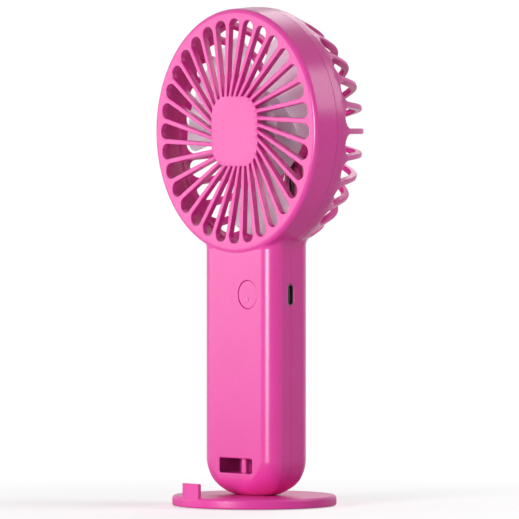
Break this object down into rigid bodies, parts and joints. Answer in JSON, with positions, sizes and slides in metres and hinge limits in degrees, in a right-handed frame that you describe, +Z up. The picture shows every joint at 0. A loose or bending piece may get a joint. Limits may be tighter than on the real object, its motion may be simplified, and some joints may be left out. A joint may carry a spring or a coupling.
{
  "type": "handheld electric fan",
  "caption": "Rechargeable handheld fan with a caged round head and flat slotted grille, standing in a round base with a phone tab.",
  "frame": {"origin": "centre of the round base's underside", "axes": "+Z up along the handle, -Y out of the front grille, +X towards the charging port"},
  "size_m": [0.1058, 0.07, 0.2121],
  "materials": {
    "pink_plastic": "satin moulded",
    "foot_rubber": "matt",
    "steel": "plain",
    "nickel": "plain",
    "clear_window": "translucent",
    "light_lens": "translucent",
    "black_plastic": "satin",
    "board_green": "lacquered",
    "ferrite": "matt",
    "capacitor_ceramic": "matt",
    "gold": "plated",
    "battery_sleeve": "shrink sleeve over a metal can",
    "white_plastic": "satin",
    "foam": "foam",
    "wire_red": "satin",
    "wire_black": "satin",
    "bronze": "sintered",
    "copper": "enamelled",
    "core_steel": "laminated",
    "frosted_plastic": "frosted translucent"
  },
  "bodies": {
    "stand": {"stand_base": "pink_plastic", "stand_feet": "foot_rubber"},
    "fan_body": {"front_shell": "pink_plastic", "rear_shell": "pink_plastic", "case_screws": "steel", "switch_body": "black_plastic", "switch_cover": "steel", "status_light": "light_lens", "circuit_board": "board_green", "board_screws": "steel", "charge_chip": "black_plastic", "driver_chip": "black_plastic", "inductor": "ferrite", "capacitors": "capacitor_ceramic", "resistors": "black_plastic", "port_shell": "steel", "port_tongue": "black_plastic", "port_contacts": "gold", "battery_cell": "battery_sleeve", "battery_insulator": "white_plastic", "battery_strips": "nickel", "battery_pads": "foam", "battery_lead_red": "wire_red", "battery_lead_black": "wire_black", "motor_lead_red": "wire_red", "motor_lead_black": "wire_black", "motor_can": "steel", "motor_end_cap": "white_plastic", "motor_magnets": "ferrite", "motor_front_bush": "bronze", "motor_rear_bush": "bronze", "motor_brushes": "copper", "motor_terminals": "copper", "motor_retainer": "white_plastic"},
    "rotor": {"impeller": "frosted_plastic", "motor_shaft": "steel", "rotor_core": "core_steel", "rotor_windings": "copper", "commutator": "copper"},
    "button": {"power_button": "pink_plastic", "button_window": "clear_window", "switch_plunger": "black_plastic"}
  },
  "joints": [
    {"name": "lift_off", "type": "slide", "parent": "stand", "child": "fan_body", "axis": [0, 0, 1], "range_m": [0, 0.03]},
    {"name": "blade_spin", "type": "hinge", "parent": "fan_body", "child": "rotor", "pos_m": [0, 0, 0.1592], "axis": [0, 1, 0], "continuous": true},
    {"name": "button_press", "type": "slide", "parent": "fan_body", "child": "button", "axis": [0, 1, 0], "range_m": [0, 0.0005], "stiffness_N_per_m": 2000, "springref_m": -0.0002}
  ]
}
